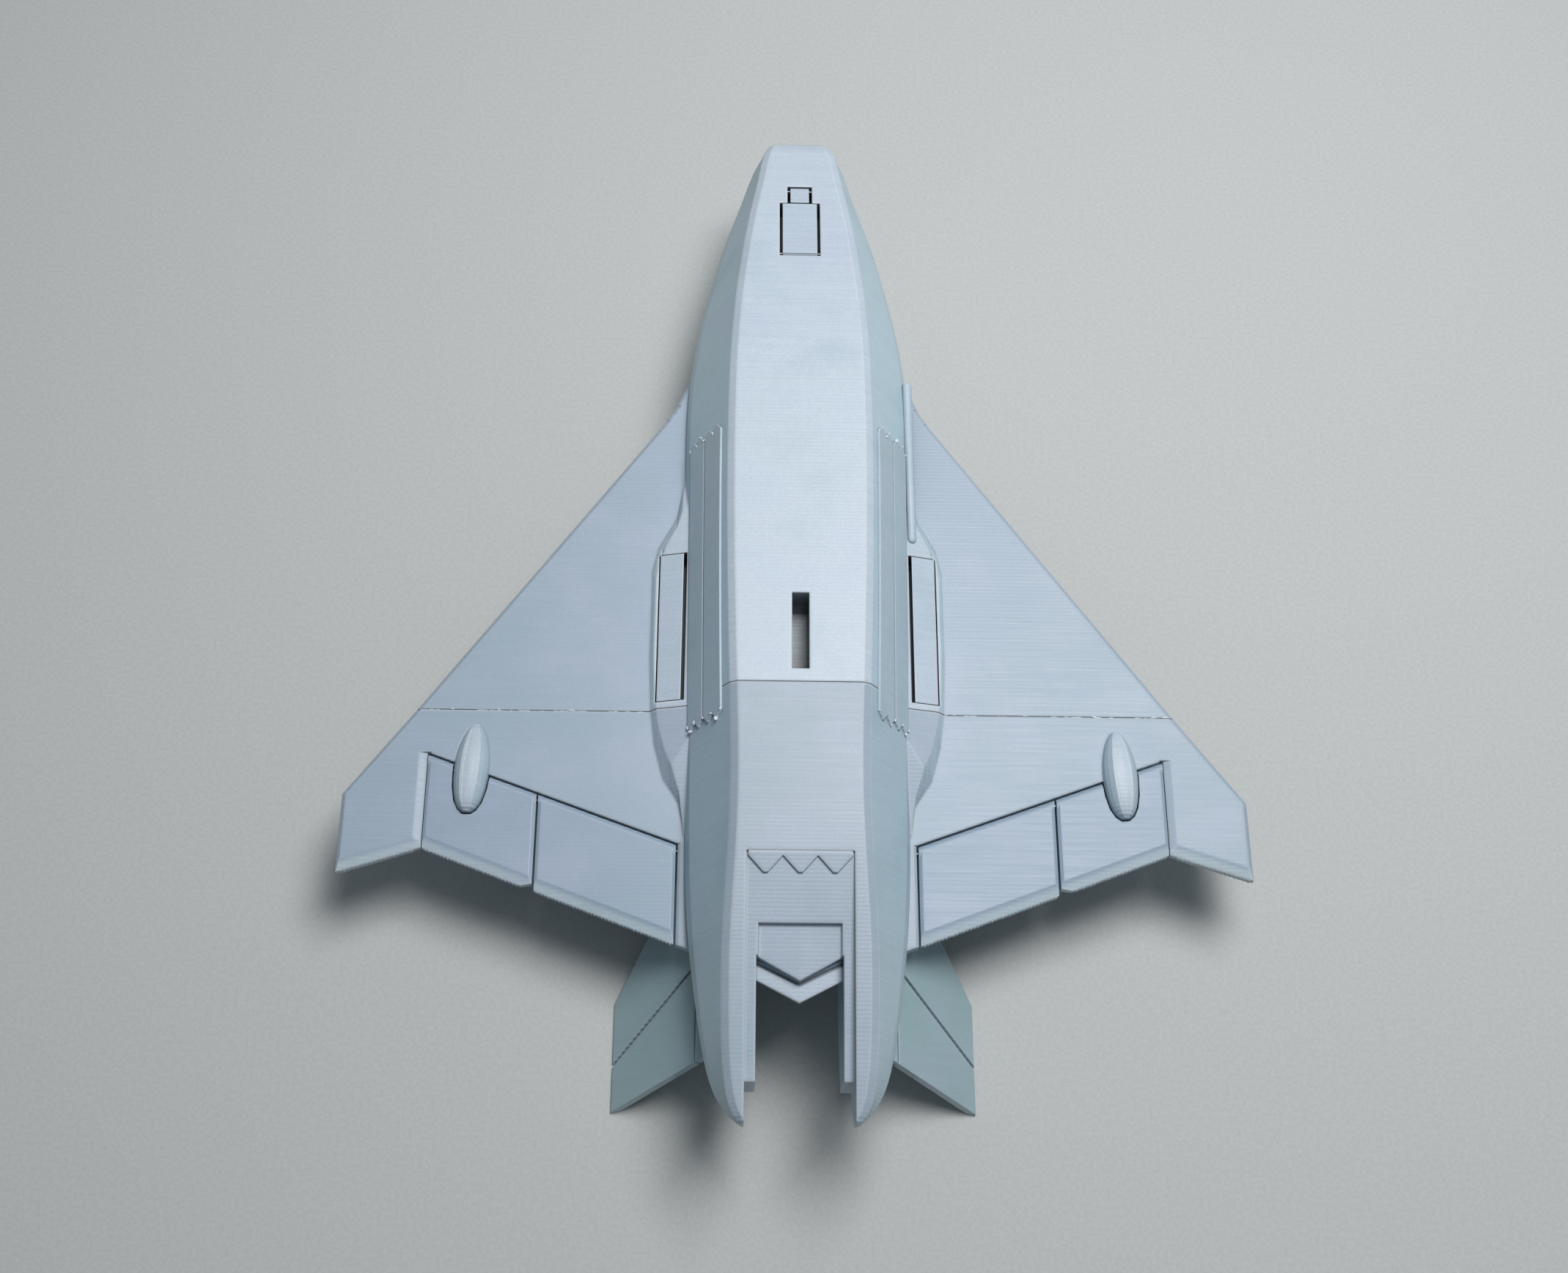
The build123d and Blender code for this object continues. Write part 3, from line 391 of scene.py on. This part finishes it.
def edge_point(node, x, z):
    """Point on the rear edge of a part, found by looking forward at it from behind."""
    behind = Vector((x, cad_box[0].y - RAY_START, z))
    hit, spot, _, _ = frame["nodes"][node].ray_cast(behind, FORWARD)
    return spot if hit else None


def mesh_piece(name, mesh, material, body):
    """New object from a bmesh, riding on a body."""
    data = bpy.data.meshes.new(name)
    mesh.to_mesh(data)
    mesh.free()
    data.materials.append(material)
    piece = bpy.data.objects.new(name, data)
    bpy.context.scene.collection.objects.link(piece)
    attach(piece, body)
    return piece


print("rays start at y", round((cad_box[0].y - RAY_START) / MM, 1), "mm")

# %% Stair steps
STEP_DEPTH = LAYER           # how far the far end of a block stands proud of the edge
DEPTH_SPREAD = (0.6, 1.1)    # which varies from block to block
STEP_START = 0.15            # share of that depth at its near end
STEP_ROOT = 1.5              # depths that a block reaches into the plate
STEP_FILL = 0.92             # share of a layer's run that its block takes up
EDGE_T = 0.5 * WING_T        # height of a block


def wedge(mesh, near, far, thick, depth):
    """One layer end: a block that is almost flush at near and stands depth proud at far."""
    lift = Vector((0, 0, thick / 2))
    back = Vector((0, -depth, 0))
    into = Vector((0, STEP_ROOT * depth, 0))
    outline = [near + into, far + into, far + back, near + back * STEP_START]
    top = [mesh.verts.new(p + lift) for p in outline]
    bottom = [mesh.verts.new(p - lift) for p in outline]
    mesh.faces.new(top)
    mesh.faces.new(list(reversed(bottom)))
    for i in range(4):
        j = (i + 1) % 4
        mesh.faces.new((top[j], top[i], bottom[i], bottom[j]))


def edge_steps(name, start, end, body, material):
    """Staircase of layer ends along the plan edge from start to end."""
    run = end - start
    count = max(1, int(abs(run.y) / LAYER))
    mesh = bmesh.new()
    draw = random.Random(name)
    for i in range(count):
        near = start + run * (i / count)
        far = start + run * ((i + STEP_FILL) / count)
        wedge(mesh, near, far, EDGE_T, STEP_DEPTH * draw.uniform(*DEPTH_SPREAD))
    bmesh.ops.recalc_face_normals(mesh, faces=mesh.faces)
    print(name, count, "layers, ending at", [round(v / MM, 1) for v in end])
    return mesh_piece(name, mesh, material, body)


print("blocks", round(STEP_DEPTH / MM, 2), "mm deep and", round(EDGE_T / MM, 2), "mm high")

# %% Steps on the elevons
END_CLEAR = 0.3 * MM         # bare length at each end of an elevon's edge
SPLIT_CLEAR = 1.8 * MM       # and more of it on an outer elevon, beside the split between the two
for side, sign in SIDES:
    for which in ("inner", "outer"):
        elevon = f"{side}_{which}_elevon"
        low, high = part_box(elevon)
        root_clear = END_CLEAR + (SPLIT_CLEAR if which == "outer" else 0)
        low_clear, high_clear = (END_CLEAR, root_clear) if sign < 0 else (root_clear, END_CLEAR)
        middle_z = (low.z + high.z) / 2
        start = edge_point(elevon, low.x + low_clear, middle_z)
        end = edge_point(elevon, high.x - high_clear, middle_z)
        if start and end:
            edge_steps(f"{elevon}_steps", start, end, f"{elevon}_body", plate_shaded_pla)

# %% Steps on the wing tips
NOTCH_CLEAR = 1.0 * MM       # from the outer elevon to the first step
TIP_CLEAR = 0.5 * MM         # from the last step to the wing tip
for side, sign in SIDES:
    elevon_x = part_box(f"{side}_outer_elevon")[0 if sign < 0 else 1].x
    tip_x = cad_box[0 if sign < 0 else 1].x
    start = edge_point("rear_section", elevon_x + sign * NOTCH_CLEAR, SKIN_Z - WING_T / 2)
    end = edge_point("rear_section", tip_x - sign * TIP_CLEAR, SKIN_Z - WING_T / 2)
    if start and end:
        edge_steps(f"{side}_wing_tip_steps", start, end, "airframe", rear_shaded_pla)

# %% [markdown]
# ## Glue and stray beads along the joint
# The edges of both sections curl a little where they met the print bed, and the printer leaves a bead
# wherever it starts or ends a line.  They show as a broken white line along the joint and as small
# lumps on the points of the zigzag panels; their pale colour is a painted highlight.  Each is a
# flattened ball; a fixed random seed scatters the first kind, and a ray from above puts each of those
# on the skin, whatever the shape there.
# %% Dropping a bead on the skin
SKINS = [frame["nodes"][name] for name in ("front_section", "rear_section")]


def skin_point(x, y):
    """Highest point of either section at a place in plan."""
    above = Vector((x, y, cad_box[1].z + RAY_START))
    hits = [skin.ray_cast(above, DOWN)[:2] for skin in SKINS]
    spots = [spot for hit, spot in hits if hit]
    return max(spots, key=lambda p: p.z) if spots else None


def bead(mesh, spot, length, width, height):
    """Flattened ball, sunk a third of its height into the skin."""
    shape = Matrix.Translation(spot - Vector((0, 0, height / 3)))
    shape = shape @ Matrix.Diagonal((length, width, height, 1.0))
    bmesh.ops.create_icosphere(mesh, subdivisions=2, radius=1.0, matrix=shape)


print("beads drop on", [skin.name for skin in SKINS])

# %% Beads along the joint
JOINT_BEADS = 90
JOINT_SEED = 11
JOINT_INSET = 1.0 * MM       # bare length at each end of the joint
BEAD_STRAY = 0.1             # mm off the line, either way
BEAD_LENGTH = (0.15, 0.7)    # mm along the line, from the middle of a bead
BEAD_WIDTH = (0.08, 0.13)    # mm across it
BEAD_HEIGHT = 0.1 * MM
WING_BAND = 0.3 * MM         # a bead this close to the wing's skin stays; higher up there are none
draw = random.Random(JOINT_SEED)
lumps = bmesh.new()
half_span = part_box("front_section")[1].x - JOINT_INSET
for _ in range(JOINT_BEADS):
    x = draw.uniform(-half_span, half_span)
    spot = skin_point(x, JOINT_Y + draw.uniform(-BEAD_STRAY, BEAD_STRAY) * MM)
    if spot and abs(spot.z - SKIN_Z) < WING_BAND:
        bead(lumps, spot, draw.uniform(*BEAD_LENGTH) * MM, draw.uniform(*BEAD_WIDTH) * MM, BEAD_HEIGHT)
mesh_piece("joint_beads", lumps, bead_highlight_pla, "airframe")
print("beads on the joint line, within", round(half_span / MM, 1), "mm of the middle")

# %% Points of the zigzag panels
CHEEK_OUT = Vector((0.867, 0, 0.498))        # square to the cheek, on the right
END_REACH = 1.3 * MM                         # how near the end of a panel its points lie
OUTER_BAND = 0.5 * MM                        # how near its outer face
SAME_POINT = 0.4 * MM                        # corners closer than this are one point


def end_corners(node, outward):
    """Outer corners of a panel near its two ends."""
    corners = []
    low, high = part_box(node)
    spots = [v.co.copy() for v in frame["nodes"][node].data.vertices]
    for end in (low.y, high.y):
        near = [p for p in spots if abs(p.y - end) < END_REACH]
        proud = max(p.dot(outward) for p in near)
        for p in near:
            if p.dot(outward) > proud - OUTER_BAND and all((p - q).length > SAME_POINT for q in corners):
                corners.append(p)
    return corners


print("panel points looked for within", round(END_REACH / MM, 1), "mm of an end")

# %% Lumps on the points
LUMP_SEED = 5
LUMP_SKIP = 0.3              # share of the points that came out clean
LUMP_SIZE = (0.09, 0.2)      # mm
LUMP_SPREAD = (0.8, 2.2)     # how much wider than high
draw = random.Random(LUMP_SEED)
for side, sign in SIDES:
    outward = Vector((sign * CHEEK_OUT.x, 0, CHEEK_OUT.z))
    lumps = bmesh.new()
    for panel in ("upper", "lower"):
        for spot in end_corners(f"{side}_{panel}_bay_panel", outward):
            if draw.random() < LUMP_SKIP:
                continue
            size = draw.uniform(*LUMP_SIZE) * MM
            bead(lumps, spot, size * draw.uniform(*LUMP_SPREAD), size * draw.uniform(*LUMP_SPREAD), size)
    mesh_piece(f"{side}_panel_lumps", lumps, bead_highlight_pla, "airframe")
    print(side, "panel lumps placed")


# %% [markdown]
# ## Ridges on the hinge fairings
# Each cigar-shaped fairing over a hinge carries fine ridges along its back, where the slicer turned
# the round form into a few straight walls.  Two stand at the sides and a fainter one runs between
# them.  Each is a slim bar of diamond section, laid along points found by dropping rays on the part.
# %% Ridge bars
def ridge_bar(mesh, points, radius):
    """Slim bar of diamond section through a row of points."""
    corners = [Vector((radius, 0, 0)), Vector((0, 0, radius)),
               Vector((-radius, 0, 0)), Vector((0, 0, -radius))]
    rings = [[mesh.verts.new(p + corner) for corner in corners] for p in points]
    for ring, after in zip(rings, rings[1:]):
        for i in range(4):
            j = (i + 1) % 4
            mesh.faces.new((ring[i], ring[j], after[j], after[i]))
    mesh.faces.new(list(reversed(rings[0])))
    mesh.faces.new(rings[-1])


FAIRING_RIDGES = [(-0.36, 0.10), (0.0, 0.05), (0.36, 0.10)]   # share of half the width, radius in mm
FAIRING_TOE = math.radians(3.3)              # their noses point a little inwards
RIDGE_REACH = 0.86                           # share of the length that a ridge covers
RIDGE_POINTS = 15
RIDGE_SINK = 0.3                             # share of its radius that a bar lies in the skin
for side, sign in SIDES:
    fairing = f"{side}_hinge_fairing"
    low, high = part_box(fairing)
    middle, half = (low + high) / 2, (high - low) / 2
    bars = bmesh.new()
    for across, radius in FAIRING_RIDGES:
        spots = []
        for i in range(RIDGE_POINTS):
            along = -RIDGE_REACH + 2 * RIDGE_REACH * i / (RIDGE_POINTS - 1)
            aside = across * math.sqrt(1 - along * along) * half.x
            x = middle.x + aside - sign * math.sin(FAIRING_TOE) * along * half.y
            above = Vector((x, middle.y + along * half.y, high.z + RAY_START))
            hit, spot, _, _ = frame["nodes"][fairing].ray_cast(above, DOWN)
            if hit:
                spots.append(spot - Vector((0, 0, RIDGE_SINK * radius * MM)))
        ridge_bar(bars, spots, radius * MM)
    bmesh.ops.recalc_face_normals(bars, faces=bars.faces)
    # the bars' pale colour is a painted highlight along the ridges
    mesh_piece(f"{side}_fairing_ridges", bars, bead_highlight_pla, "airframe")
    print(fairing, "ridges laid over", round(2 * RIDGE_REACH * half.y / MM, 1), "mm")

# %% [markdown]
# ## Camera
# The picture looks down from behind the tail at about 22 degrees off the vertical, with a normal lens.
# The camera is placed from the joint line and the floor, so it follows the model if that is packed
# again.
# %% Camera
CAMERA_FROM_JOINT = Vector((-9.7, -97.1, 282.9)) * MM
CAMERA_TURNS = (("Y", -1.63), ("X", 22.39), ("Z", 0.16))      # in degrees, from straight down
camera_data = bpy.data.cameras.new("camera")
camera_data.lens = 42.07
camera_data.sensor_width = 36.0
camera_data.clip_start = 0.01
camera = bpy.data.objects.new("camera", camera_data)
bpy.context.scene.collection.objects.link(camera)
bpy.context.scene.camera = camera
turn = Matrix.Identity(4)
for axis, degrees in CAMERA_TURNS:
    turn = turn @ Matrix.Rotation(math.radians(degrees), 4, axis)
camera.matrix_world = Matrix.Translation(CAMERA_FROM_JOINT + Vector((0, JOINT_Y, 0))) @ turn
print("camera", round(camera.matrix_world.translation.length / MM), "mm from the origin")


# %% [markdown]
# ## Light and floor
# One soft box hangs close above the model, a little to the right of it and towards the nose.  Being
# close, it lights the front and the right wing more than the tail and the left wing, and it reaches
# into the slot and over the ridges at an angle that shows their depth.  A weak sky, slightly blue,
# fills the shadows.
# %% Soft box
def soft_box(name, place, size, watts, aim):
    """Square area lamp, size metres wide, pointed at aim."""
    data = bpy.data.lights.new(name, "AREA")
    data.size = size
    data.energy = watts
    lamp = bpy.data.objects.new(name, data)
    bpy.context.scene.collection.objects.link(lamp)
    lamp.location = place
    lamp.rotation_euler = (aim - lamp.location).to_track_quat("-Z", "Y").to_euler()
    return lamp


soft_box("overhead_box", place=Vector((0.10, 0.10, 0.45)), size=0.22, watts=1.92,
         aim=Vector((0.02, 0.03, 0)))
world = bpy.data.worlds.new("studio")
world.use_nodes = True
sky = world.node_tree.nodes["Background"]
sky.inputs["Color"].default_value = linear("e4f4ff")
sky.inputs["Strength"].default_value = 0.17
bpy.context.scene.world = world


# %% Floor
def painted_board():
    """Matt paint on board, with the faint nap of a roller, which is about 0.6 mm wide."""
    material, tree, shader = new_material("matt_painted_board")
    place = add(tree, "TexCoord").outputs["Object"]
    nap = add(tree, "TexNoise", Vector=place, Scale=1 / (0.6 * MM), Detail=2.0).outputs[0]
    tree.links.new(tint(tree, ramp(tree, nap, 0.3, 0.7), linear("c0c2c1"), "c6c8c7"),
                   shader.inputs["Base Color"])
    tree.links.new(add(tree, "Bump", Strength=0.2, Distance=0.02 * MM, Height=nap).outputs[0],
                   shader.inputs["Normal"])
    shader.inputs["Roughness"].default_value = 0.9
    return material


FLOOR_WIDTH = 3              # in metres, wide enough for the main view; a low view still shows its edge
FLOOR_DROP = 0.05 * MM       # below the parts that rest on it, so that no two faces share a place
bpy.ops.mesh.primitive_plane_add(size=FLOOR_WIDTH, location=(0, 0, -FLOOR_DROP))
floor = bpy.context.object
floor.name = "floor"
floor.data.materials.append(painted_board())
print("floor", FLOOR_WIDTH, "m wide")
